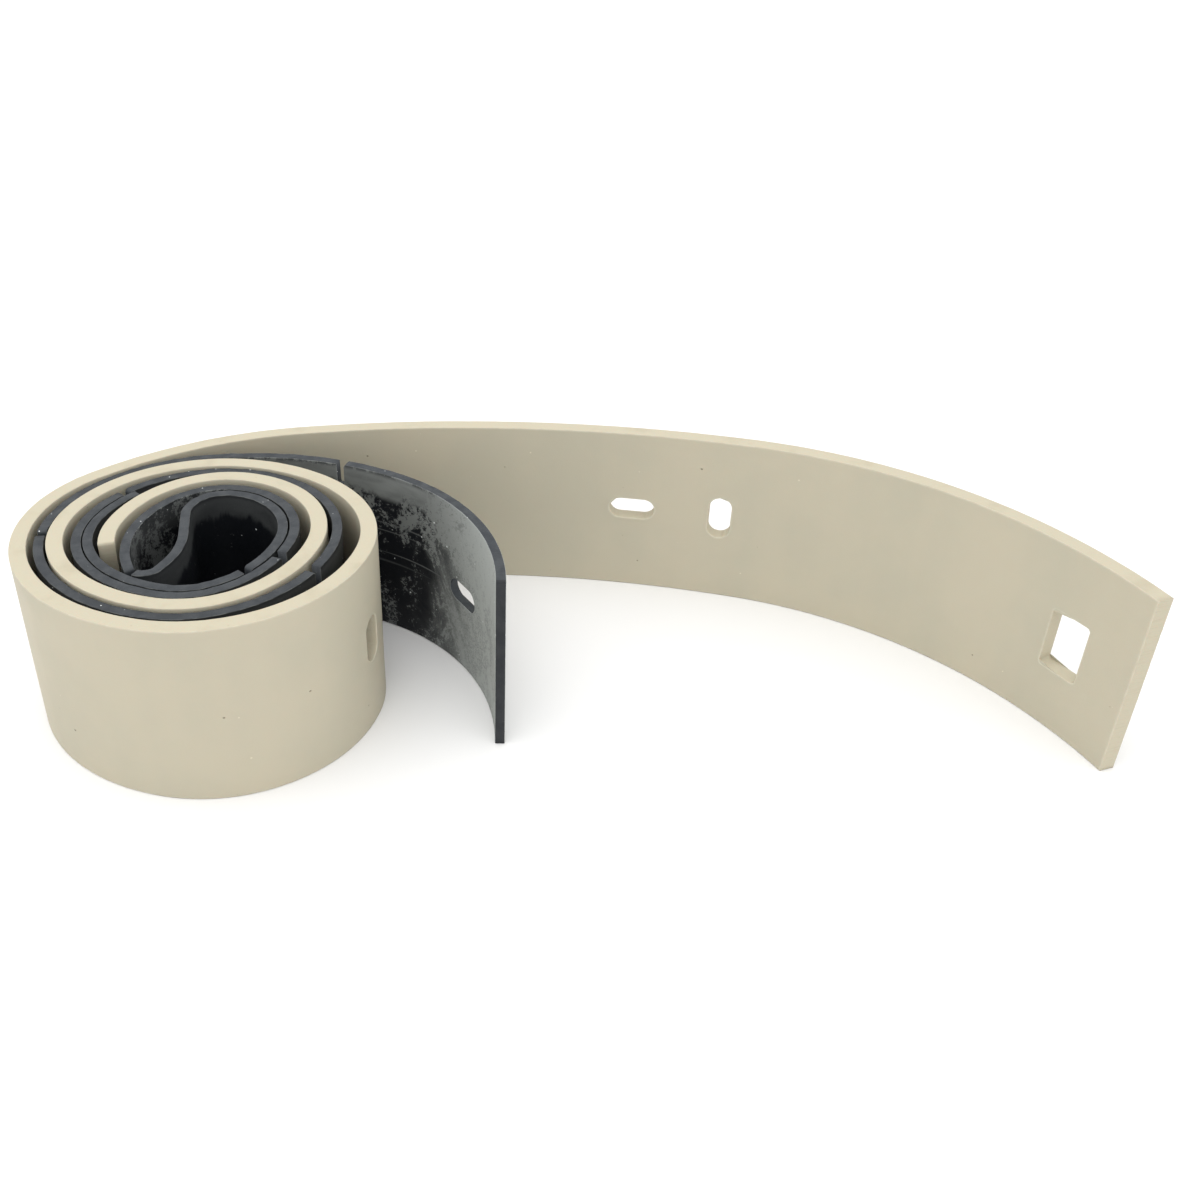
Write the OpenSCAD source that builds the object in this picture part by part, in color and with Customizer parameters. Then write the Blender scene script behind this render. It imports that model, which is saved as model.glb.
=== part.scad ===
/* [Rear blade] */
// Height of the tan rear blade, floor edge to floor edge
rear_height = 76; // [60:1:90]
// Thickness of the tan rear blade
rear_thick = 6.3; // [5:0.1:6.3]
// Width of the rear blade's slots
rear_slot_w = 9.5; // [6:0.5:12]
// End-to-end length of the rear blade's slots
rear_slot_l = 19.5; // [14:0.5:22]
// Height of the slot centres above the floor
rear_slot_z = 39.5; // [34:0.5:44]
// Width of the rectangular end window, along the blade
window_w = 16; // [10:1:20]
// Height of the rectangular end window
window_h = 25; // [12:1:28]
// Height of the window's centre above the floor
window_z = 37; // [34:0.5:44]

/* [Front blade] */
// Height of the black front blade
front_height = 75; // [60:1:90]
// Thickness of the black front blade
front_thick = 3.8; // [3:0.1:3.8]
// Width of the relief notches in the front blade's top edge
notch_w = 3; // [2:0.5:5]
// Depth of the relief notches
notch_d = 10; // [5:0.5:15]
// Spacing of the relief notches along the blade
notch_pitch = 145.5; // [140:0.5:150]
// Distance from the free end to the first notch
notch_first = 117; // [105:1:125]
// Width of the front blade's slot
front_slot_w = 9.5; // [6:0.5:12]
// End-to-end length of the front blade's slot
front_slot_l = 19.5; // [14:0.5:22]
// Height of the slot centre above the floor
front_slot_z = 36.5; // [30:0.5:44]
// Distance from the free end to the slot's centre
front_slot_s = 50; // [30:1:60]

/* [Hidden] */
$fn = 180;

// Both blades stand on edge and roll up to the left round one oval core. Four spokes leave
// the core's centre at right angles: 0 points left, 1 front, 2 right and 3 back, all
// turned by the tilt of the oval.
core_centre = [-127, 7.5];
oval_tilt = -20;
// Distances from the core's centre to the middle of a layer at each spoke that the blade
// crosses, from spoke 0 on its outside. Quarter ellipses join one crossing to the next.
rear_layers = [71, 61.5, 62.5, 53, 57.5, 48.5, 43, 42, 37, 36];
front_layers = [63.5, 54.5, 50, 47.5, 49.5, 42, 33.5, 34.5, 28.5];
// Part of its last quarter ellipse that the rear blade covers
rear_last_part = 0.3;
// Free tails up to spoke 0, as left bends of [radius of the middle line, turn in degrees]
rear_tail = [[176, 55], [440, 25], [150, 35], [53, 35]];
front_tail = [[87, 60], [118, 40], [68, 35], [55, 35]];
// The front blade's tight turn inside the core, which sends it up the core's middle
core_turn = [[45, 40], [6, 120], [35, 40]];
// It then goes round to the right from spoke 3, just inside its own last layer
core_layers = [30, 29, 37.5, 45.2, 43];
core_last_part = 0.35;

// Distances along the rear blade, from its free end to the middle of each hole
window_s = 29.5;
upright_slot_s = 179;
level_slot_s = 217;
roll_slot_s = 681;
notch_count = 7;

// The curves are drawn in steps of at most this turn and this length
step_turn = 3;
step_length = 5;
quarter_steps = 30;

// Unit vector along spoke k
function spoke(k) =
    let (angle = 180 + 90 * k + oval_tilt)
    [cos(angle), sin(angle)];

// A point and a direction as a pose [x, y, heading in degrees]
function pose(point, along) = [point[0], point[1], atan2(along[1], along[0])];

// Plan position of a pose
function place(p) = [p[0], p[1]];

// Pose on spoke 0 of a layer that runs to the left round the core
function on_spoke_0(reach) = pose(core_centre + reach * spoke(0), spoke(1));

// Poses on the quarter ellipse from spoke k to the next one, left for side 1, right for -1
function quarter(k, side, reach, next_reach, part) = [
    for (i = [1 : quarter_steps])
        let (
            t = 90 * part * i / quarter_steps,
            out = reach * spoke(k),
            across = next_reach * spoke(k + side)
        )
        pose(core_centre + out * cos(t) + across * sin(t), across * cos(t) - out * sin(t))
];

// Poses through all the layers of a roll
function wraps(layers, first, side, last_part) = [
    for (k = [0 : len(layers) - 2])
        each quarter(first + side * k, side, layers[k], layers[k + 1],
                     k == len(layers) - 2 ? last_part : 1)
];

// Pose after turning through an angle on a radius, both negative for a right bend
function turned(p, radius, angle) =
    let (heading = p[2] + angle)
    [
        p[0] + radius * (sin(heading) - sin(p[2])),
        p[1] + radius * (cos(p[2]) - cos(heading)),
        heading
    ];

// Pose where a chain of bends starts, if it ends at pose p
function chain_start(p, bends, k) =
    k < 0 ? p : chain_start(turned(p, bends[k][0], -bends[k][1]), bends, k - 1);

// Pose after the first k bends of a chain
function chain_pose(p, bends, k) =
    k == 0 ? p : turned(chain_pose(p, bends, k - 1), bends[k - 1][0], bends[k - 1][1]);

// Number of flat steps that follow a bend closely
function bend_steps(bend) =
    let (bend_length = bend[0] * bend[1] * PI / 180)
    ceil(max(abs(bend[1]) / step_turn, bend_length / step_length));

// Poses along a chain of bends, without its first pose
function chain(p, bends) = [
    for (k = [0 : len(bends) - 1])
        let (start = chain_pose(p, bends, k), steps = bend_steps(bends[k]))
        for (i = [1 : steps])
            turned(start, bends[k][0], bends[k][1] * i / steps)
];

// Poses from a blade's free end, along its tail and round the core to its last layer
function rolled(tail, layers, last_part) =
    let (free_end = chain_start(on_spoke_0(layers[0]), tail, len(tail) - 1))
    concat([free_end], chain(free_end, tail), wraps(layers, 0, 1, last_part));

// Poses of the front blade inside the core: tight turn, stem, and the wrap to the right
function core_path() =
    let (
        turn_start = on_spoke_0(front_layers[len(front_layers) - 1]),
        turn_end = chain_pose(turn_start, core_turn, len(core_turn)),
        top = core_centre + core_layers[0] * spoke(3),
        stem_radius = (top[0] - turn_end[0]) / (1 - sin(oval_tilt)),
        stem_end = [turn_end[0], top[1] - stem_radius * cos(oval_tilt), 90],
        stem_bend = [-stem_radius, oval_tilt - 90]
    )
    concat(
        chain(turn_start, core_turn),
        [stem_end],
        chain(stem_end, [stem_bend]),
        wraps(core_layers, 3, -1, core_last_part)
    );

rear_path = rolled(rear_tail, rear_layers, rear_last_part);
front_path = concat(rolled(front_tail, front_layers, 1), core_path());

// Distance of every pose in a path from the free end
function distances(path) = [
    for (i = 0, s = 0; i < len(path); i = i + 1,
         s = s + (i < len(path) ? norm(place(path[i]) - place(path[i - 1])) : 0))
        s
];

// Pose at distance s along a path
function pose_at(path, s) =
    let (
        run = distances(path),
        i = max([for (k = [0 : len(path) - 2]) if (run[k] <= s) k]),
        step = place(path[i + 1]) - place(path[i])
    )
    pose(place(path[i]) + step * (s - run[i]) / norm(step), step);

// Moves its children to a pose, with X along the blade and Y across it
module at_pose(p, z) {
    translate([p[0], p[1], z])
        rotate([0, 0, p[2]])
            children();
}

// Point at a distance to the left of a pose
function beside(p, left) = place(p) + left * [-sin(p[2]), cos(p[2])];

// A whole blade standing on its edge
module blade(path, thick, height) {
    last = len(path) - 1;
    left_side = [for (p = path) beside(p, thick / 2)];
    right_side = [for (i = [last : -1 : 0]) beside(path[i], -thick / 2)];
    linear_extrude(height = height)
        polygon(concat(left_side, right_side));
}

// Tool for a slot with round ends, lengthwise along X
module slot_tool(slot_l, slot_w, depth) {
    for (end = [-1, 1])
        translate([end * (slot_l - slot_w) / 2, 0, 0])
            rotate([90, 0, 0])
                cylinder(d = slot_w, h = depth, center = true);
    cube([slot_l - slot_w, depth, slot_w], center = true);
}

// The thick tan blade, outermost in the roll, with its long free tail
module rear_blade() {
    cut_depth = 2 * rear_thick;
    color("#d3cab2")
        difference() {
            blade(rear_path, rear_thick, rear_height);
            at_pose(pose_at(rear_path, window_s), window_z)
                cube([window_w, cut_depth, window_h], center = true);
            at_pose(pose_at(rear_path, level_slot_s), rear_slot_z)
                slot_tool(rear_slot_l, rear_slot_w, cut_depth);
            for (s = [upright_slot_s, roll_slot_s])
                at_pose(pose_at(rear_path, s), rear_slot_z)
                    rotate([0, 90, 0])
                        slot_tool(rear_slot_l, rear_slot_w, cut_depth);
        }
}

// The thin black blade, rolled up inside the rear blade and doubled back at the core
module front_blade() {
    // Just deep enough to cut one layer of the roll
    notch_depth_across = front_thick + 0.4;
    color("#3b3f42")
        difference() {
            blade(front_path, front_thick, front_height);
            at_pose(pose_at(front_path, front_slot_s), front_slot_z)
                slot_tool(front_slot_l, front_slot_w, 2 * front_thick);
            for (n = [0 : notch_count - 1])
                at_pose(pose_at(front_path, notch_first + n * notch_pitch), front_height)
                    cube([notch_w, notch_depth_across, 2 * notch_d], center = true);
        }
}

rear_blade();
front_blade();
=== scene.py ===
"""Two rubber squeegee blades rolled up together, standing on edge on a pale floor.

Each blade is made the way the real one is: a flat punched blank, whose cut edges are slightly
rounded, is rolled up along the middle line of its CAD node.
Flat coordinates are s along the blade from its free end, d across it and z up its height.
"""

import math

import bmesh
import bpy
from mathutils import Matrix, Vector, noise
from mathutils.geometry import delaunay_2d_cdt


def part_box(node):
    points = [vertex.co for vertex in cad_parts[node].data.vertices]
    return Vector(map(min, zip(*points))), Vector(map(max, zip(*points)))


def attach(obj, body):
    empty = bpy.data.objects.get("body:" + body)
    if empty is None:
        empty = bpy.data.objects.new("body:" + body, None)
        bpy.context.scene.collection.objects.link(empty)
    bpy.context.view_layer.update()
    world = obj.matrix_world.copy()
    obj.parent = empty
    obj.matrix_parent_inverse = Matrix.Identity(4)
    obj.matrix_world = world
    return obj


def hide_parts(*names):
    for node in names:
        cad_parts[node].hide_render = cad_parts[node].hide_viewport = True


MM = 0.001
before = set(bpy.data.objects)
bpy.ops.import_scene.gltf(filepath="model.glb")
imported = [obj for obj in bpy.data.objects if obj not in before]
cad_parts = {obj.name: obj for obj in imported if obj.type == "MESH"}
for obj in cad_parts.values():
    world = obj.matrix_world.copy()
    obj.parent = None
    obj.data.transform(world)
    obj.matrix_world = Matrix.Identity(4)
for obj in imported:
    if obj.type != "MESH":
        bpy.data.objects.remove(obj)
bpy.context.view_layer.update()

# ---------------------------------------------------------------- sizes
FLAT_UV = "Flat"
EDGE_DISTANCE = "edge_distance"
CUT_FACE = "cut_face"

# A cut is (s, z, half length along the blade, half height, corner radius)
REAR_WINDOW = (29.5 * MM, 37 * MM, 8 * MM, 12.5 * MM, 1.6 * MM)
UPRIGHT_SLOT = (179 * MM, 39.5 * MM, 4.75 * MM, 9.75 * MM, 4.75 * MM)
LEVEL_SLOT = (217 * MM, 39.5 * MM, 9.75 * MM, 4.75 * MM, 4.75 * MM)
ROLL_SLOT = (681 * MM, 39.5 * MM, 4.75 * MM, 9.75 * MM, 4.75 * MM)
FRONT_SLOT = (50 * MM, 36.5 * MM, 9.75 * MM, 4.75 * MM, 4.75 * MM)

NOTCH_FIRST = 117 * MM
NOTCH_PITCH = 145.5 * MM
NOTCH_COUNT = 7
NOTCH_HALF_WIDTH = 1.5 * MM
NOTCH_DEPTH = 10 * MM
NOTCH_FOOT_RADIUS = 0.6 * MM
NOTCH_LIP_RADIUS = 1.5 * MM
NOTCH_MARGIN = 0.3 * MM

COLUMN_TURN = math.radians(5)
COLUMN_SHORTEST = 0.8 * MM
COLUMN_LONGEST = 2.5 * MM
ROW_HEIGHT = 4 * MM
INNER_MARGIN = 2.2 * MM
END_STEP = 1.2 * MM
ROUNDING_STEPS = 3
RIM_WIDTH = 0.7 * MM
WALL_ROWS = 3
CORNER_STEPS = 8
NOTCH_FOOT_STEPS = 4
NOTCH_LIP_STEPS = 5
RAGGED_PER_METRE = 420
WAVES_PER_METRE = 22.0
FARTHEST_EDGE = 20 * MM

SQUARE_CORNER = math.radians(60)
TOUCHING = 1e-6
SHORTEST_SIDE = 1e-5
TRIANGLES_INSIDE = 1
FILL_TOLERANCE = 1e-8


# ---------------------------------------------------------------- middle line of a blade
def lower_outline(node):
    """The corners of a CAD blade's lower edge, in order round it."""
    bm = bmesh.new()
    bm.from_mesh(node.data)
    bmesh.ops.remove_doubles(bm, verts=bm.verts, dist=TOUCHING)
    beside = {}
    for edge in bm.edges:
        on_floor = all(abs(v.co.z) < TOUCHING for v in edge.verts)
        if on_floor and any(abs(face.normal.z) < 0.5 for face in edge.link_faces):
            a, b = edge.verts
            beside.setdefault(a, []).append(b)
            beside.setdefault(b, []).append(a)
    start = min(beside, key=lambda v: tuple(v.co))
    loop, before, here = [start], None, start
    while True:
        onward = [v for v in beside[here] if v is not before][0]
        if onward is start:
            break
        loop.append(onward)
        before, here = here, onward
    corners = [v.co.xy.copy() for v in loop]
    bm.free()
    return corners


def blade_sides(corners):
    """The two long sides of an outline, both from the free end to the inner end."""
    count = len(corners)
    square = []
    for i in range(count):
        into = corners[i] - corners[i - 1]
        out = corners[(i + 1) % count] - corners[i]
        if into.angle(out) > SQUARE_CORNER:
            square.append(i)
    if square[1] - square[0] != 1:
        square = square[-1:] + square[:-1]
    a, b, c, d = square
    one = [corners[i % count] for i in range(b, c + 1)]
    other = [corners[i % count] for i in range(a + (count if a < d else 0), d - 1, -1)]
    centre = sum(corners, Vector((0, 0))) / count
    if (one[0] - centre).length < (one[-1] - centre).length:
        one.reverse()
        other.reverse()
    return one, other


def middle_line(node, substeps=4):
    """Points along the middle of a blade, eased from station to station, and its thickness."""
    one, other = blade_sides(lower_outline(node))
    stations = [(p + q) / 2 for p, q in zip(one, other)]
    thickness = (one[0] - other[0]).length
    tangents = []
    for i, (p, q) in enumerate(zip(one, other)):
        across = (p - q).normalized()
        along = Vector((across.y, -across.x))
        ahead = stations[min(i + 1, len(stations) - 1)] - stations[max(i - 1, 0)]
        tangents.append(along if along.dot(ahead) > 0 else -along)
    points = [stations[0]]
    for i in range(len(stations) - 1):
        p, q = stations[i], stations[i + 1]
        reach = (q - p).length
        for k in range(1, substeps + 1):
            t = k / substeps
            points.append(
                p * (2 * t**3 - 3 * t**2 + 1)
                + tangents[i] * reach * (t**3 - 2 * t**2 + t)
                + q * (3 * t**2 - 2 * t**3)
                + tangents[i + 1] * reach * (t**3 - t**2)
            )
    return points, thickness


def path_curve(name, points):
    """A flat poly curve through the points, which the blank is rolled along."""
    data = bpy.data.curves.new(name, "CURVE")
    data.dimensions = "3D"
    spline = data.splines.new("POLY")
    spline.points.add(len(points) - 1)
    for place, point in zip(spline.points, points):
        place.co = (point.x, point.y, 0, 1)
    curve = bpy.data.objects.new(name, data)
    bpy.context.scene.collection.objects.link(curve)
    return curve


def column_places(points):
    """Distances along the blade, closer together where it bends tightly."""
    lengths = [0]
    for p, q in zip(points, points[1:]):
        lengths.append(lengths[-1] + (q - p).length)
    places, last_heading = [0], (points[1] - points[0])
    for i in range(1, len(points) - 1):
        heading = points[i + 1] - points[i]
        step = lengths[i] - places[-1]
        turned = last_heading.angle(heading) >= COLUMN_TURN
        if step >= COLUMN_LONGEST or (turned and step >= COLUMN_SHORTEST):
            places.append(lengths[i])
            last_heading = heading
    if lengths[-1] - places[-1] < COLUMN_SHORTEST:
        places.pop()
    return places + [lengths[-1]]


# ---------------------------------------------------------------- flat blanks
def cut_distance(cut, s, z):
    """Distance from a cut's edge, positive in the rubber."""
    centre_s, centre_z, half_s, half_z, corner = cut
    ds = abs(s - centre_s) - half_s + corner
    dz = abs(z - centre_z) - half_z + corner
    return math.hypot(max(ds, 0), max(dz, 0)) + min(max(ds, dz), 0) - corner


def arc(centre, radius, start, end, steps=CORNER_STEPS):
    """Points on an arc, angles in degrees."""
    angles = [math.radians(start + (end - start) * i / steps) for i in range(steps + 1)]
    return [Vector(centre) + radius * Vector((math.cos(a), math.sin(a))) for a in angles]


def cut_loop(cut):
    """A cut's edge, run round so that the rubber is on its left."""
    s, z, half_s, half_z, corner = cut
    loop = []
    for side_s, side_z, start in ((1, 1, 90), (1, -1, 0), (-1, -1, -90), (-1, 1, -180)):
        centre = (s + side_s * (half_s - corner), z + side_z * (half_z - corner))
        loop += arc(centre, corner, start, start - 90)
    return without_doubles(loop)


def notch_edge(s, height):
    """A notch in the upper edge, run towards the free end, its free-end lip rounded over."""
    foot, lip = NOTCH_FOOT_RADIUS, NOTCH_LIP_RADIUS
    right, left = s + NOTCH_HALF_WIDTH, s - NOTCH_HALF_WIDTH
    floor = height - NOTCH_DEPTH
    edge = [Vector((right, height))]
    edge += arc((right - foot, floor + foot), foot, 0, -90, NOTCH_FOOT_STEPS)
    edge += arc((left + foot, floor + foot), foot, -90, -180, NOTCH_FOOT_STEPS)
    edge += arc((left - lip, height - lip), lip, 0, 90, NOTCH_LIP_STEPS)
    return edge


def without_doubles(loop):
    """The loop with points that fall on their neighbour left out."""
    return [p for i, p in enumerate(loop) if (p - loop[i - 1]).length > SHORTEST_SIDE]


def blank_outline(columns, height, notches):
    """The outside of a blank, run round so that the rubber is on its left."""
    length = columns[-1]
    rises = max(2, round(height / END_STEP))
    steps = [height * i / rises for i in range(1, rises)]
    outline = [Vector((s, 0)) for s in columns]
    outline += [Vector((length, z)) for z in steps]
    reach = NOTCH_HALF_WIDTH + NOTCH_LIP_RADIUS + NOTCH_MARGIN
    waiting = sorted(notches, reverse=True)
    for s in reversed(columns):
        if waiting and s < waiting[0] - reach:
            outline += notch_edge(waiting.pop(0), height)
        if all(abs(s - notch) > reach for notch in notches):
            outline.append(Vector((s, height)))
    outline += [Vector((0, z)) for z in reversed(steps)]
    return without_doubles(outline)


def inward(loop, i):
    """The step at corner i that moves both of its sides one unit into the rubber."""
    into = (loop[i] - loop[i - 1]).normalized()
    out = (loop[(i + 1) % len(loop)] - loop[i]).normalized()
    a, b = Vector((-into.y, into.x)), Vector((-out.y, out.x))
    return (a + b) / (1 + a.dot(b))


def ragged(loop, amount, seed):
    """The loop with its edge wandering a little, as a knife leaves it."""
    moved = []
    for i, p in enumerate(loop):
        place = Vector((p.x * RAGGED_PER_METRE, p.y * RAGGED_PER_METRE, seed))
        moved.append(p + inward(loop, i) * amount * noise.noise(place))
    return moved


def rounding(radius, lip):
    """(inset, depth) from the middle of a cut wall to just past its rounded edge."""
    steps = [math.pi / 2 * k / ROUNDING_STEPS for k in range(ROUNDING_STEPS + 1)]
    profile = [
        (radius * (1 - math.cos(a)), (radius + lip) * (1 - math.sin(a)) - lip)
        for a in steps
    ]
    return profile + [(radius + RIM_WIDTH, 0)]


def wall_rows(profile, thickness, radius):
    """(inset, d) of each ring of a wall, from one broad face to the other."""
    wall = thickness / 2 - radius
    rows = [(inset, thickness / 2 - depth) for inset, depth in reversed(profile)]
    rows += [(0, wall - 2 * wall * k / WALL_ROWS) for k in range(1, WALL_ROWS)]
    return rows + [(inset, depth - thickness / 2) for inset, depth in profile]


def add_wall(bm, loop, profile, rows, distance, cut_face):
    """The wall round a loop. Gives its first and last rings, on the two broad faces."""
    steps = [inward(loop, i) for i in range(len(loop))]
    rings = []
    for inset, d in rows:
        ring = []
        for corner, step in zip(loop, steps):
            at = corner + step * inset
            ring.append(bm.verts.new((at.x, d, at.y)))
        for v in ring:
            v[distance] = inset
        rings.append(ring)
    for r, (ring, below) in enumerate(zip(rings, rings[1:])):
        is_cut = len(profile) - 2 <= r < len(rows) - len(profile) + 1
        for i in range(len(loop)):
            j = (i + 1) % len(loop)
            face = bm.faces.new((ring[i], below[i], below[j], ring[j]))
            face[cut_face] = 1.0 if is_cut else 0.0
    return rings[0], rings[-1]


def inner_points(columns, height, blockers):
    """Points of a broad face that lie on the columns, clear of the edges and the cuts."""
    rows = [ROW_HEIGHT * k for k in range(1, int((height - INNER_MARGIN) / ROW_HEIGHT) + 1)]
    return [
        (s, z) for s in columns[1:-1] for z in rows
        if INNER_MARGIN < s < columns[-1] - INNER_MARGIN
        and all(cut_distance(c, s, z) > INNER_MARGIN for c in blockers)
    ]


def make_blank(name, columns, height, thickness, cuts, notches, radius, lip, rag, seed):
    """A closed flat blade: two faces, and a wall with rounded edges round each loop."""
    bm = bmesh.new()
    distance = bm.verts.layers.float.new(EDGE_DISTANCE)
    cut_face = bm.faces.layers.float.new(CUT_FACE)
    loops = [(blank_outline(columns, height, notches), 0)] + [(cut_loop(c), lip) for c in cuts]
    rims = {1: [], -1: []}
    for loop, loop_lip in loops:
        profile = rounding(radius, loop_lip)
        rows = wall_rows(profile, thickness, radius)
        first, last = add_wall(bm, ragged(loop, rag, seed), profile, rows, distance, cut_face)
        rims[1].append(first)
        rims[-1].append(last)
    blockers = list(cuts) + [
        (s, height, NOTCH_HALF_WIDTH, NOTCH_DEPTH, NOTCH_FOOT_RADIUS) for s in notches
    ]
    inner = inner_points(columns, height, blockers)
    for side in (1, -1):
        fill_face(bm, rims[side], inner, side * thickness / 2, blockers, distance)
    bmesh.ops.recalc_face_normals(bm, faces=bm.faces)
    mesh = bpy.data.meshes.new(name)
    bm.to_mesh(mesh)
    bm.free()
    return mesh


def fill_face(bm, rims, inner, d, blockers, distance):
    """One broad face of the blank, between its rims, with its inner points on the columns."""
    verts, edges = [], []
    for rim in rims:
        first = len(verts)
        verts += rim
        edges += [(first + i, first + (i + 1) % len(rim)) for i in range(len(rim))]
    low, high = rims[0][0].co.z, max(v.co.z for v in rims[0])
    for s, z in inner:
        v = bm.verts.new((s, d, z))
        to_cuts = [cut_distance(c, s, z) for c in blockers]
        v[distance] = min([z - low, high - z, FARTHEST_EDGE] + to_cuts)
        verts.append(v)
    flat = [Vector((v.co.x, v.co.z)) for v in verts]
    filled = delaunay_2d_cdt(flat, edges, [], TRIANGLES_INSIDE, FILL_TOLERANCE)
    _, _, triangles, origins, _, _ = filled
    for triangle in triangles:
        corners = [verts[origins[i][0]] for i in triangle]
        middle = sum((v.co for v in corners), Vector()) / 3
        if any(cut_distance(c, middle.x, middle.z) < 0 for c in blockers):
            continue
        bm.faces.new(corners)


# ---------------------------------------------------------------- rolling up, in Geometry Nodes
def add(tree, kind, **settings):
    """A new node, with its properties set by name."""
    made = tree.nodes.new(kind)
    for name, value in settings.items():
        setattr(made, name, value)
    return made


def feed(tree, target, source):
    """Gives a socket a constant, or links another socket to it."""
    if isinstance(source, bpy.types.NodeSocket):
        tree.links.new(source, target)
    else:
        target.default_value = source


def maths(tree, operation, *values):
    """A Math node's result."""
    made = add(tree, "ShaderNodeMath", operation=operation)
    for socket, value in zip(made.inputs, values):
        feed(tree, socket, value)
    return made.outputs[0]


def vector_maths(tree, operation, *values):
    """A Vector Math node's vector, or its scale for SCALE's second value."""
    made = add(tree, "ShaderNodeVectorMath", operation=operation)
    sockets = [made.inputs[0], made.inputs["Scale"]] if operation == "SCALE" else made.inputs
    for socket, value in zip(sockets, values):
        feed(tree, socket, value)
    return made.outputs[0]


def combine(tree, x, y, z):
    """A vector from three values."""
    made = add(tree, "ShaderNodeCombineXYZ")
    for socket, value in zip(made.inputs, (x, y, z)):
        feed(tree, socket, value)
    return made.outputs[0]


def roll_up_tree():
    """Geometry Nodes that roll a flat blank up along a curve."""
    tree = bpy.data.node_groups.new("Roll Up", "GeometryNodeTree")
    interface = tree.interface
    interface.new_socket("Geometry", in_out="INPUT", socket_type="NodeSocketGeometry")
    interface.new_socket("Path", in_out="INPUT", socket_type="NodeSocketObject")
    interface.new_socket("Broad Face Material", in_out="INPUT", socket_type="NodeSocketMaterial")
    interface.new_socket("Cut Face Material", in_out="INPUT", socket_type="NodeSocketMaterial")
    interface.new_socket("Waviness", in_out="INPUT", socket_type="NodeSocketFloat")
    interface.new_socket("Waves Per Metre", in_out="INPUT", socket_type="NodeSocketFloat")
    interface.new_socket("Seed", in_out="INPUT", socket_type="NodeSocketFloat")
    interface.new_socket("Geometry", in_out="OUTPUT", socket_type="NodeSocketGeometry")
    given = add(tree, "NodeGroupInput").outputs
    place = add(tree, "GeometryNodeInputPosition").outputs[0]
    parts = add(tree, "ShaderNodeSeparateXYZ")
    feed(tree, parts.inputs[0], place)
    s, d, z = parts.outputs

    flat = add(tree, "GeometryNodeStoreNamedAttribute", data_type="FLOAT2", domain="CORNER")
    feed(tree, flat.inputs["Geometry"], given["Geometry"])
    flat.inputs["Name"].default_value = FLAT_UV
    feed(tree, flat.inputs["Value"], combine(tree, s, z, 0.0))

    path = add(tree, "GeometryNodeObjectInfo", transform_space="ORIGINAL")
    feed(tree, path.inputs["Object"], given["Path"])
    along = add(tree, "GeometryNodeSampleCurve", mode="LENGTH", use_all_curves=True)
    feed(tree, along.inputs["Curves"], path.outputs["Geometry"])
    feed(tree, along.inputs["Length"], s)
    left = vector_maths(tree, "CROSS_PRODUCT", (0, 0, 1), along.outputs["Tangent"])
    left = vector_maths(tree, "NORMALIZE", left)

    wave = add(tree, "ShaderNodeTexNoise", noise_dimensions="4D")
    feed(tree, wave.inputs["Vector"], combine(tree, s, 0.0, z))
    feed(tree, wave.inputs["W"], given["Seed"])
    feed(tree, wave.inputs["Scale"], given["Waves Per Metre"])
    wave.inputs["Detail"].default_value = 1
    either_way = maths(tree, "SUBTRACT", wave.outputs[0], 0.5)
    swing = maths(tree, "MULTIPLY", either_way, given["Waviness"])
    offset = vector_maths(tree, "SCALE", left, maths(tree, "ADD", d, swing))
    rolled = vector_maths(tree, "ADD", along.outputs["Position"], offset)
    rolled = vector_maths(tree, "ADD", rolled, combine(tree, 0.0, 0.0, z))
    move = add(tree, "GeometryNodeSetPosition")
    feed(tree, move.inputs["Geometry"], flat.outputs["Geometry"])
    feed(tree, move.inputs["Position"], rolled)

    cut = add(tree, "GeometryNodeInputNamedAttribute", data_type="FLOAT")
    cut.inputs["Name"].default_value = CUT_FACE
    smooth = add(tree, "GeometryNodeSetShadeSmooth")
    feed(tree, smooth.inputs["Geometry"], move.outputs["Geometry"])
    whole = add(tree, "GeometryNodeRealizeInstances")
    feed(tree, whole.inputs[0], smooth.outputs[0])
    broad_paint = add(tree, "GeometryNodeSetMaterial")
    feed(tree, broad_paint.inputs["Geometry"], whole.outputs[0])
    feed(tree, broad_paint.inputs["Material"], given["Broad Face Material"])
    cut_paint = add(tree, "GeometryNodeSetMaterial")
    feed(tree, cut_paint.inputs["Geometry"], broad_paint.outputs[0])
    feed(tree, cut_paint.inputs["Selection"], maths(tree, "GREATER_THAN", cut.outputs[0], 0.5))
    feed(tree, cut_paint.inputs["Material"], given["Cut Face Material"])
    feed(tree, add(tree, "NodeGroupOutput").inputs[0], cut_paint.outputs[0])
    return tree


def set_inputs(modifier, **values):
    """Sets a Geometry Nodes modifier's inputs by their names, with _ for a space."""
    for item in modifier.node_group.interface.items_tree:
        name = item.name.replace(" ", "_")
        if item.in_out == "INPUT" and name in values:
            modifier[item.identifier] = values[name]


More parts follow.
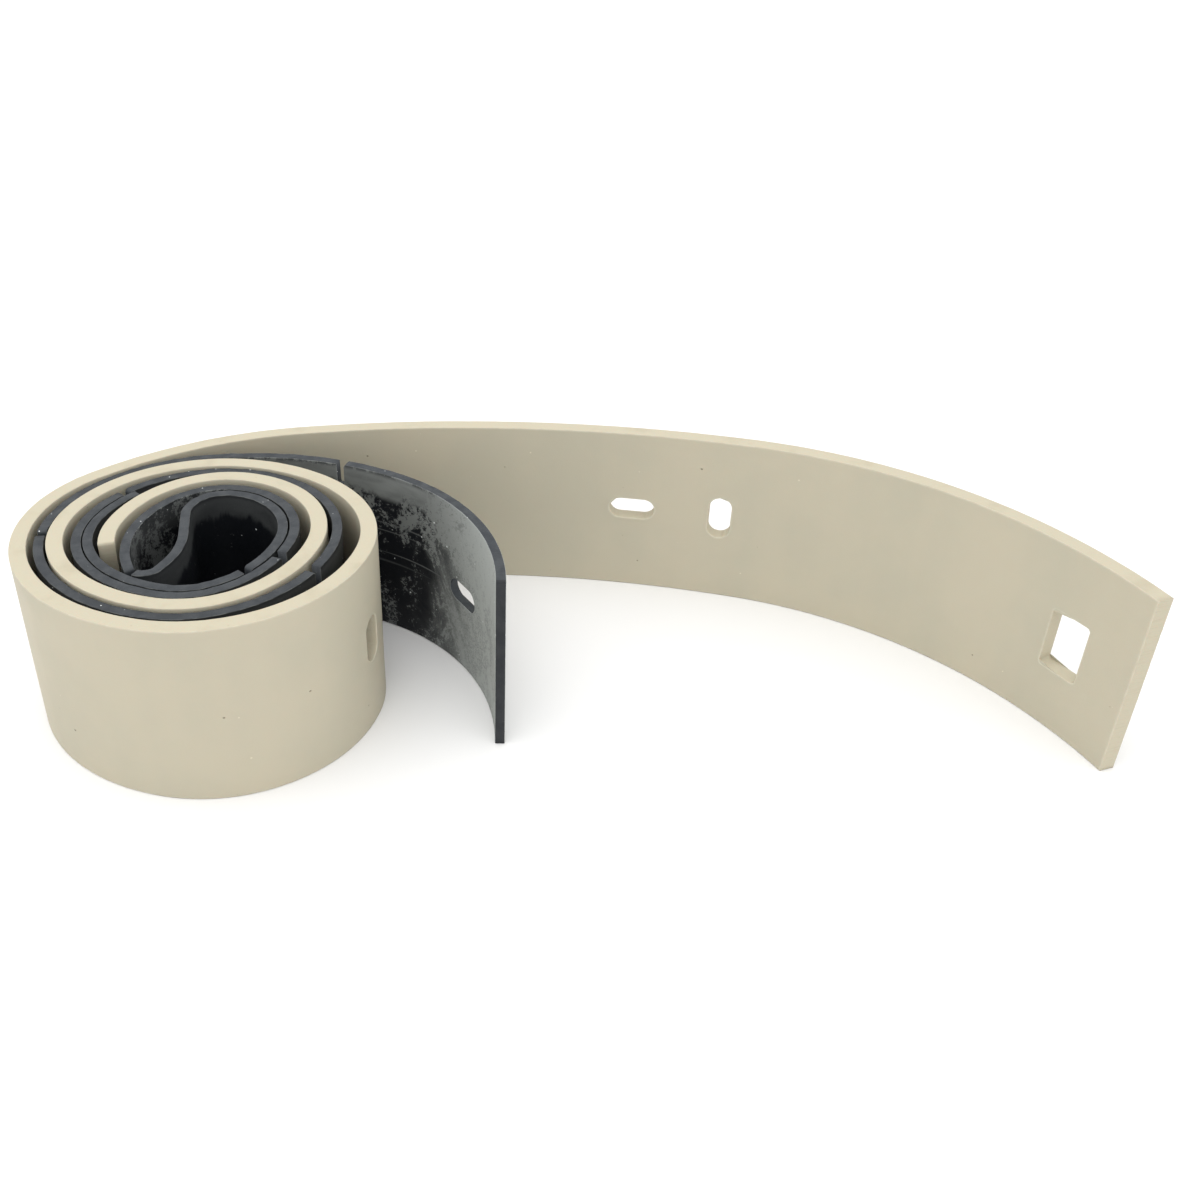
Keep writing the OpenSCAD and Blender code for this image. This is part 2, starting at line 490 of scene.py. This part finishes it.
def rolled_blade(name, node_name, tree, materials, wavy, seed, **blank):
    """The finished blade piece, standing where its CAD node stands."""
    points, thickness = middle_line(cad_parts[node_name])
    low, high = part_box(node_name)
    mesh = make_blank(name, column_places(points), high[2] - low[2], thickness, seed=seed, **blank)
    flat = bpy.data.objects.new(name + "_blank", mesh)
    bpy.context.scene.collection.objects.link(flat)
    curve = path_curve(name + "_path", points)
    roll = flat.modifiers.new("Roll Up", "NODES")
    roll.node_group = tree
    set_inputs(
        roll, Path=curve, Broad_Face_Material=materials[0], Cut_Face_Material=materials[1],
        Waviness=wavy, Waves_Per_Metre=WAVES_PER_METRE, Seed=float(seed),
    )
    graph = bpy.context.evaluated_depsgraph_get()
    shaped = bpy.data.meshes.new_from_object(flat.evaluated_get(graph), depsgraph=graph)
    shaped.name = name
    piece = bpy.data.objects.new(name, shaped)
    bpy.context.scene.collection.objects.link(piece)
    bpy.data.objects.remove(flat)
    bpy.data.objects.remove(curve)
    return piece


# ---------------------------------------------------------------- shared surface effects
def new_group(name, inputs, outputs):
    """An empty shader group with (name, default) inputs and named outputs, and its ends."""
    tree = bpy.data.node_groups.new(name, "ShaderNodeTree")
    for label, default in inputs:
        kind = "NodeSocketVector" if default is None else "NodeSocketFloat"
        socket = tree.interface.new_socket(label, in_out="INPUT", socket_type=kind)
        if default is not None:
            socket.default_value = default
    for label in outputs:
        tree.interface.new_socket(label, in_out="OUTPUT", socket_type="NodeSocketFloat")
    return tree, add(tree, "NodeGroupInput").outputs, add(tree, "NodeGroupOutput").inputs


def noise_value(tree, vector, scale, detail=3.0, roughness=0.5, distortion=0.0):
    """A noise texture's value."""
    made = add(tree, "ShaderNodeTexNoise")
    feed(tree, made.inputs["Vector"], vector)
    feed(tree, made.inputs["Scale"], scale)
    made.inputs["Detail"].default_value = detail
    made.inputs["Roughness"].default_value = roughness
    made.inputs["Distortion"].default_value = distortion
    return made.outputs[0]


def ramp(tree, value, start, end, low=0.0, high=1.0):
    """Value eased from low at start to high at end."""
    made = add(tree, "ShaderNodeMapRange", interpolation_type="SMOOTHSTEP")
    for socket, given in zip(made.inputs, (value, start, end, low, high)):
        feed(tree, socket, given)
    return made.outputs[0]


def specks_group(name, dimensions):
    """Sparse round specks, one at most in each cell of a solid or a flat grid."""
    tree, given, result = new_group(
        name, [("Vector", None), ("Per Metre", 60.0), ("Size", 0.03), ("Share", 0.4)], ["Mask"]
    )
    cells = add(tree, "ShaderNodeTexVoronoi", feature="F1", voronoi_dimensions=dimensions)
    feed(tree, cells.inputs["Vector"], given["Vector"])
    feed(tree, cells.inputs["Scale"], given["Per Metre"])
    colour = add(tree, "ShaderNodeSeparateColor")
    feed(tree, colour.inputs[0], cells.outputs["Color"])
    relative_size = ramp(tree, colour.outputs[1], 0.0, 1.0, 0.4, 1.3)
    size = maths(tree, "MULTIPLY", given["Size"], relative_size)
    dot = ramp(tree, cells.outputs["Distance"], size, maths(tree, "MULTIPLY", size, 0.6))
    chosen = maths(tree, "LESS_THAN", colour.outputs[0], given["Share"])
    feed(tree, result["Mask"], maths(tree, "MULTIPLY", dot, chosen))
    return tree


def edge_group():
    """How close the surface is to a cut edge, broken up in patches: the mask of the painted
    highlight along the cut edges.
    """
    tree, given, result = new_group(
        "Edge Rim", [("Vector", None), ("Width", 0.0008), ("Wear", 0.4)], ["Mask"]
    )
    distance = add(tree, "ShaderNodeAttribute", attribute_name=EDGE_DISTANCE).outputs["Fac"]
    rim = ramp(tree, distance, given["Width"], 0.0)
    broken_up = ramp(tree, noise_value(tree, given["Vector"], 260.0), 0.35, 0.65)
    kept = maths(tree, "SUBTRACT", 1.0, maths(tree, "MULTIPLY", broken_up, given["Wear"]))
    feed(tree, result["Mask"], maths(tree, "MULTIPLY", rim, kept))
    return tree


def bloom_group():
    """Mottled dust: grains of two sizes gathered in cloudy patches."""
    tree, given, result = new_group(
        "Dust Bloom", [("Vector", None), ("Cover", 0.5), ("Grains Per Metre", 520.0)], ["Mask"]
    )
    patches = noise_value(tree, given["Vector"], 46.0, 4.0, 0.6, 0.8)
    coarse_scale = maths(tree, "MULTIPLY", given["Grains Per Metre"], 0.4)
    coarse = noise_value(tree, given["Vector"], coarse_scale, 3.0)
    fine = noise_value(tree, given["Vector"], given["Grains Per Metre"], 5.0, 0.75)
    patchy = maths(tree, "MULTIPLY", patches, 0.2)
    total = maths(tree, "ADD", patchy, maths(tree, "MULTIPLY", coarse, 0.3))
    total = maths(tree, "ADD", total, maths(tree, "MULTIPLY", fine, 0.5))
    edge = ramp(tree, given["Cover"], 0.0, 1.0, 0.60, 0.38)
    feed(tree, result["Mask"], ramp(tree, total, edge, maths(tree, "ADD", edge, 0.07)))
    return tree


GROUPS = {
    "solid specks": specks_group("Solid Specks", "3D"),
    "flat specks": specks_group("Flat Specks", "2D"),
    "edge": edge_group(),
    "bloom": bloom_group(),
}


def effect(tree, group, **values):
    """A shared effect's mask, with its inputs set by name, _ for a space."""
    made = add(tree, "ShaderNodeGroup", node_tree=GROUPS[group])
    for name, value in values.items():
        feed(tree, made.inputs[name.replace("_", " ")], value)
    return made.outputs["Mask"]


def mixed(tree, mask, first, second):
    """Two colours mixed by a mask."""
    made = add(tree, "ShaderNodeMix", data_type="RGBA")
    feed(tree, made.inputs["Factor"], mask)
    sockets = [socket for socket in made.inputs if socket.type == "RGBA"]
    for socket, colour in zip(sockets, (first, second)):
        feed(tree, socket, colour if isinstance(colour, bpy.types.NodeSocket) else (*colour, 1))
    return [socket for socket in made.outputs if socket.type == "RGBA"][0]


def bumped(tree, height, depth, normal=None):
    """A normal bent by a height that reaches depth, in metres."""
    made = add(tree, "ShaderNodeBump")
    made.inputs["Distance"].default_value = depth
    made.inputs["Strength"].default_value = 1.0
    feed(tree, made.inputs["Height"], height)
    if normal is not None:
        feed(tree, made.inputs["Normal"], normal)
    return made.outputs[0]


def start_material(name):
    """A new node material with its shader, flat coordinates and object coordinates."""
    material = bpy.data.materials.new(name)
    material.use_nodes = True
    tree = material.node_tree
    shader = tree.nodes["Principled BSDF"]
    flat = add(tree, "ShaderNodeUVMap", uv_map=FLAT_UV).outputs[0]
    solid = add(tree, "ShaderNodeTexCoord").outputs["Object"]
    return material, tree, shader, flat, solid


def stretched(tree, vector, x, y, z):
    """Coordinates scaled differently each way."""
    made = add(tree, "ShaderNodeMapping")
    feed(tree, made.inputs["Vector"], vector)
    made.inputs["Scale"].default_value = (x, y, z)
    return made.outputs[0]


def finish_surface(tree, shader, colour, roughness, normal):
    """Feeds a material's results to its shader."""
    feed(tree, shader.inputs["Base Color"], colour)
    feed(tree, shader.inputs["Roughness"], roughness)
    feed(tree, shader.inputs["Normal"], normal)


# ---------------------------------------------------------------- tan gum rubber
TAN_FACE = (0.500, 0.455, 0.345)
TAN_FACE_COOL = (0.470, 0.436, 0.335)
TAN_SPECK_AND_HIGHLIGHT = (0.62, 0.575, 0.455)
TAN_CUT = (0.535, 0.488, 0.368)
TAN_CUT_SHADE = (0.455, 0.405, 0.295)
TAN_PIT_SHADE = (0.16, 0.13, 0.09)


def tan_broad_face():
    """Moulded gum rubber: nearly even, faintly banded, with a few pits painted dark as painted
    shade, light chips and a painted highlight along the cut edges.
    """
    material, tree, shader, flat, solid = start_material("tan_rubber_face")
    clouds = noise_value(tree, solid, 22.0, 4.0, 0.55)
    bands = noise_value(tree, stretched(tree, flat, 34.0, 1.5, 1.0), 1.0, 3.0)
    cloudy = maths(tree, "MULTIPLY", clouds, 0.6)
    tone = maths(tree, "ADD", cloudy, maths(tree, "MULTIPLY", bands, 0.4))
    colour = mixed(tree, ramp(tree, tone, 0.38, 0.62), TAN_FACE, TAN_FACE_COOL)
    grain = noise_value(tree, solid, 900.0, 4.0, 0.65)
    colour = mixed(tree, ramp(tree, grain, 0.60, 0.78, 0.0, 0.25), colour, TAN_FACE_COOL)
    # A lighter rim along the cut edges: painted highlight, broken up in patches.
    rim = effect(tree, "edge", Vector=solid, Width=0.0010, Wear=0.5)
    colour = mixed(tree, maths(tree, "MULTIPLY", rim, 0.75), colour, TAN_SPECK_AND_HIGHLIGHT)
    chips = effect(tree, "flat specks", Vector=flat, Per_Metre=42.0, Size=0.018, Share=0.24)
    colour = mixed(tree, chips, colour, TAN_SPECK_AND_HIGHLIGHT)
    uneven = stretched(tree, flat, 1.0, 1.3, 1.0)
    # Pits: small dents whose dark colour is painted shade inside them.
    pits = effect(tree, "flat specks", Vector=uneven, Per_Metre=33.0, Size=0.016, Share=0.34)
    colour = mixed(tree, maths(tree, "MULTIPLY", pits, 0.7), colour, TAN_PIT_SHADE)
    roughness = ramp(tree, tone, 0.3, 0.7, 0.52, 0.68)
    normal = bumped(tree, grain, 0.00005)
    normal = bumped(tree, noise_value(tree, solid, 75.0, 2.0), 0.0002, normal)
    normal = bumped(tree, maths(tree, "MULTIPLY", pits, -1.0), 0.0003, normal)
    finish_surface(tree, shader, colour, roughness, normal)
    shader.inputs["Subsurface Weight"].default_value = 0.06
    shader.inputs["Subsurface Scale"].default_value = 0.002
    shader.inputs["Specular IOR Level"].default_value = 0.35
    return material


def tan_cut_face():
    """Knife-cut gum rubber: a little lighter than the faces, with fine level strokes."""
    material, tree, shader, _, solid = start_material("tan_rubber_cut")
    strokes = noise_value(tree, stretched(tree, solid, 60.0, 60.0, 1500.0), 1.0, 3.0, 0.6)
    crumbs = noise_value(tree, solid, 1100.0, 3.0, 0.6)
    colour = mixed(tree, ramp(tree, strokes, 0.5, 0.75, 0.0, 0.6), TAN_CUT, TAN_CUT_SHADE)
    # The same light colour serves for light crumbs here and for the painted highlight on the broad
    # faces.
    colour = mixed(tree, ramp(tree, crumbs, 0.62, 0.75, 0.0, 0.35), colour, TAN_SPECK_AND_HIGHLIGHT)
    pits = effect(tree, "solid specks", Vector=solid, Per_Metre=240.0, Size=0.10, Share=0.5)
    colour = mixed(tree, maths(tree, "MULTIPLY", pits, 0.6), colour, TAN_CUT_SHADE)
    roughness = ramp(tree, crumbs, 0.3, 0.7, 0.62, 0.80)
    normal = bumped(tree, strokes, 0.00015)
    normal = bumped(tree, crumbs, 0.00006, normal)
    finish_surface(tree, shader, colour, roughness, normal)
    shader.inputs["Subsurface Weight"].default_value = 0.06
    shader.inputs["Subsurface Scale"].default_value = 0.002
    shader.inputs["Specular IOR Level"].default_value = 0.3
    return material


# ---------------------------------------------------------------- black rubber
BLACK_FACE = (0.0070, 0.0080, 0.0105)
BLACK_DUST_AND_SHEEN = (0.430, 0.455, 0.440)
BLACK_CUT = (0.040, 0.046, 0.052)
BLACK_CUT_SHADE = (0.031, 0.036, 0.042)
WHITE_SPECK = (0.75, 0.78, 0.78)

# Where the dust, the painted sheen band, the scratches and the painted shade on the free end's
# upright face lie. A pair is (clear of it, full) in s or z, in metres.
FREE_END_HAZE = (0.105, 0.008)
TAIL = (0.17, 0.15)
CORE_ENTERED = (0.745, 0.775)
CORE_LEFT = (0.845, 0.820)
UPPER_DUST = (0.036, 0.062)
BAND_LOW = 0.0635
BAND_FADE = 0.0035
BAND_TOP = (0.0750, 0.0728)
SCRATCHES_LOW = (0.030, 0.036)
SCRATCHES_HIGH = (0.056, 0.050)
PAINTED_END_SHADE = (0.0014, 0.0006)


def dust_cover(tree, s, z, free_end, on_tail, swirled):
    """How much loose dust lies here: most at the free end and high up, least between layers."""
    cover = maths(tree, "ADD", maths(tree, "MULTIPLY", free_end, 0.50), 0.26)
    high_up = ramp(tree, z, *UPPER_DUST)
    cover = maths(tree, "ADD", cover, maths(tree, "MULTIPLY", high_up, 0.30))
    in_core = maths(tree, "MULTIPLY", ramp(tree, s, *CORE_ENTERED), ramp(tree, s, *CORE_LEFT))
    bare = maths(tree, "SUBTRACT", 1.0, maths(tree, "MAXIMUM", on_tail, in_core))
    cover = maths(tree, "SUBTRACT", cover, maths(tree, "MULTIPLY", bare, 0.6))
    return maths(tree, "ADD", cover, ramp(tree, swirled, 0.35, 0.65, -0.22, 0.22))


def free_end_haze(tree, solid, free_end, swirled):
    """Fine grey haze that thins out along the tail from the free end."""
    cloudy = maths(tree, "ADD", free_end, maths(tree, "MULTIPLY", swirled, 0.6))
    grain = noise_value(tree, solid, 1500.0, 4.0, 0.7)
    grained = ramp(tree, grain, 0.35, 0.65, 0.50, 0.82)
    return maths(tree, "MULTIPLY", ramp(tree, cloudy, 0.42, 1.05), grained)


def upper_band(tree, flat, z, on_tail, swirled):
    """The smooth grey band under the upper edge, a painted sheen, faint inside the roll."""
    band_low = maths(tree, "ADD", BAND_LOW, ramp(tree, swirled, 0.3, 0.7, -0.002, 0.003))
    band = ramp(tree, z, band_low, maths(tree, "ADD", band_low, BAND_FADE))
    band = maths(tree, "MULTIPLY", band, ramp(tree, z, *BAND_TOP, 0.25, 1.0))
    tone = noise_value(tree, stretched(tree, flat, 60.0, 200.0, 1.0), 1.0, 3.0)
    band = maths(tree, "MULTIPLY", band, ramp(tree, tone, 0.25, 0.7, 0.28, 0.42))
    return maths(tree, "MULTIPLY", band, ramp(tree, on_tail, 0.0, 1.0, 0.25, 1.0))


def level_scratches(tree, flat, z, on_tail):
    """A few long level scratches at half height on the tail."""
    lines = noise_value(tree, stretched(tree, flat, 6.0, 420.0, 1.0), 1.0, 1.0)
    at_height = maths(
        tree, "MULTIPLY", ramp(tree, z, *SCRATCHES_LOW), ramp(tree, z, *SCRATCHES_HIGH)
    )
    lines = maths(tree, "MULTIPLY", ramp(tree, lines, 0.66, 0.72), at_height)
    return maths(tree, "MULTIPLY", maths(tree, "MULTIPLY", lines, on_tail), 0.22)


def black_broad_face():
    """Black rubber with dust: free-end haze, grainy clouds and scratches, with an upper band of
    painted sheen and a painted highlight along the cut edges.
    """
    material, tree, shader, flat, solid = start_material("black_rubber_face")
    parts = add(tree, "ShaderNodeSeparateXYZ")
    feed(tree, parts.inputs[0], flat)
    s, z = parts.outputs[0], parts.outputs[1]
    free_end = ramp(tree, s, *FREE_END_HAZE)
    on_tail = ramp(tree, s, *TAIL)
    swirled = noise_value(tree, stretched(tree, flat, 55.0, 30.0, 1.0), 1.0, 4.0, 0.6, 1.6)
    cover = dust_cover(tree, s, z, free_end, on_tail, swirled)
    dust = effect(tree, "bloom", Vector=solid, Cover=cover, Grains_Per_Metre=1200.0)
    dust = maths(tree, "MULTIPLY", dust, ramp(tree, free_end, 0.0, 1.0, 0.34, 0.85))
    dust = maths(tree, "MAXIMUM", dust, free_end_haze(tree, solid, free_end, swirled))
    # The upper band is a painted sheen, drawn in the dust colour.
    band = upper_band(tree, flat, z, on_tail, swirled)
    sheen_and_scratches = maths(tree, "MAXIMUM", band, level_scratches(tree, flat, z, on_tail))
    total = maths(tree, "MAXIMUM", dust, sheen_and_scratches)
    colour = mixed(tree, total, BLACK_FACE, BLACK_DUST_AND_SHEEN)
    # A faint lighter rim along the cut edges: painted highlight.
    rim = effect(tree, "edge", Vector=solid, Width=0.0005, Wear=0.7)
    colour = mixed(tree, maths(tree, "MULTIPLY", rim, 0.30), colour, BLACK_DUST_AND_SHEEN)
    specks = effect(tree, "flat specks", Vector=flat, Per_Metre=130.0, Size=0.045, Share=0.14)
    colour = mixed(tree, specks, colour, WHITE_SPECK)
    roughness = ramp(tree, total, 0.0, 0.6, 0.55, 0.85)
    normal = bumped(tree, noise_value(tree, solid, 700.0, 4.0, 0.65), 0.0001)
    normal = bumped(tree, noise_value(tree, solid, 90.0, 2.0), 0.0003, normal)
    finish_surface(tree, shader, colour, roughness, normal)
    shader.inputs["Specular IOR Level"].default_value = 0.18
    return material


def black_cut_face():
    """Cut black rubber: slate grey, darker on the free end's upright face as painted shade, with
    crumbs and white specks.
    """
    material, tree, shader, flat, solid = start_material("black_rubber_cut")
    tone = noise_value(tree, solid, 160.0, 4.0, 0.6)
    crumbs = noise_value(tree, solid, 1200.0, 3.0, 0.7)
    colour = mixed(tree, ramp(tree, tone, 0.35, 0.65), BLACK_CUT, BLACK_CUT_SHADE)
    colour = mixed(tree, ramp(tree, crumbs, 0.64, 0.76, 0.0, 0.16), colour, BLACK_DUST_AND_SHEEN)
    parts = add(tree, "ShaderNodeSeparateXYZ")
    feed(tree, parts.inputs[0], flat)
    # The free end's upright cut face is painted darker: painted shade, as it gets less light than
    # the top faces.
    painted_end_shade = ramp(tree, parts.outputs[0], *PAINTED_END_SHADE, 0.0, 0.75)
    colour = mixed(tree, painted_end_shade, colour, BLACK_FACE)
    specks = effect(tree, "solid specks", Vector=solid, Per_Metre=260.0, Size=0.08, Share=0.8)
    colour = mixed(tree, specks, colour, WHITE_SPECK)
    roughness = ramp(tree, tone, 0.3, 0.7, 0.50, 0.70)
    normal = bumped(tree, crumbs, 0.0001)
    normal = bumped(tree, tone, 0.0002, normal)
    finish_surface(tree, shader, colour, roughness, normal)
    shader.inputs["Specular IOR Level"].default_value = 0.4
    return material


# ---------------------------------------------------------------- the blades
def make_blades():
    """Both blades, each standing for its CAD node."""
    tree = roll_up_tree()
    rear = rolled_blade(
        "rear_blade_rubber", "rear_blade", tree, (tan_broad_face(), tan_cut_face()),
        wavy=0.25 * MM, seed=3, radius=0.35 * MM, lip=0.15 * MM, rag=0.10 * MM,
        cuts=[REAR_WINDOW, UPRIGHT_SLOT, LEVEL_SLOT, ROLL_SLOT], notches=[],
    )
    front = rolled_blade(
        "front_blade_rubber", "front_blade", tree, (black_broad_face(), black_cut_face()),
        wavy=0.15 * MM, seed=8, radius=0.25 * MM, lip=0.05 * MM, rag=0.22 * MM,
        cuts=[FRONT_SLOT], notches=[NOTCH_FIRST + NOTCH_PITCH * n for n in range(NOTCH_COUNT)],
    )
    stands_for = ((rear, "rear_blade", "tan_rubber"), (front, "front_blade", "black_rubber"))
    for piece, node_name, slot in stands_for:
        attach(piece, node_name)
        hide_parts(node_name)


# ---------------------------------------------------------------- floor, light and camera
FLOOR_HALF = 6.0
FLOOR_DROP = 0.2 * MM
FLOOR_WHITE = (0.90, 0.90, 0.90)
ROOM_BRIGHTNESS = 1.12
PANEL_SIZE = (1.6, 1.2)
PANEL_WATTS = 9
PANEL_PLACE = (-0.35, -0.25, 1.5)
PANEL_AIM = (-0.05, 0, 0)
CAMERA_PLACE = (-0.0803, -0.3992, 0.3221)
CAMERA_TURN = (57.65, 1.38, -6.31)
CAMERA_LENS = 37.35
CAMERA_SENSOR = 36
CAMERA_SHIFT = (0.141, -0.05)


def make_floor():
    """A wide pale floor under the blades."""
    mesh = bpy.data.meshes.new("floor")
    signs = ((-1, -1), (1, -1), (1, 1), (-1, 1))
    corners = [(x * FLOOR_HALF, y * FLOOR_HALF, -FLOOR_DROP) for x, y in signs]
    mesh.from_pydata(corners, [], [(0, 1, 2, 3)])
    floor = bpy.data.objects.new("floor", mesh)
    bpy.context.scene.collection.objects.link(floor)
    paint = bpy.data.materials.new("floor_white")
    paint.use_nodes = True
    shader = paint.node_tree.nodes["Principled BSDF"]
    shader.inputs["Base Color"].default_value = (*FLOOR_WHITE, 1)
    shader.inputs["Roughness"].default_value = 0.9
    mesh.materials.append(paint)


def make_light():
    """A white room with one wide soft light overhead, a little to the front left."""
    scene = bpy.context.scene
    world = bpy.data.worlds.new("white_room")
    world.use_nodes = True
    sky = world.node_tree.nodes["Background"]
    sky.inputs["Color"].default_value = (1, 1, 1, 1)
    sky.inputs["Strength"].default_value = ROOM_BRIGHTNESS
    scene.world = world
    panel = bpy.data.lights.new("overhead_panel", "AREA")
    panel.shape = "RECTANGLE"
    panel.size, panel.size_y = PANEL_SIZE
    panel.energy = PANEL_WATTS
    lamp = bpy.data.objects.new("overhead_panel", panel)
    lamp.location = PANEL_PLACE
    towards = Vector(PANEL_AIM) - lamp.location
    lamp.rotation_euler = towards.to_track_quat("-Z", "Y").to_euler()
    scene.collection.objects.link(lamp)
    scene.view_settings.view_transform = "Standard"


def make_camera():
    """A camera in front of the roll, looking down about 32 degrees."""
    data = bpy.data.cameras.new("camera")
    data.lens = CAMERA_LENS
    data.sensor_width = CAMERA_SENSOR
    data.shift_x, data.shift_y = CAMERA_SHIFT
    data.clip_start = 0.01
    camera = bpy.data.objects.new("camera", data)
    camera.location = CAMERA_PLACE
    camera.rotation_euler = [math.radians(a) for a in CAMERA_TURN]
    bpy.context.scene.collection.objects.link(camera)
    bpy.context.scene.camera = camera


make_camera()
make_floor()
make_light()
make_blades()
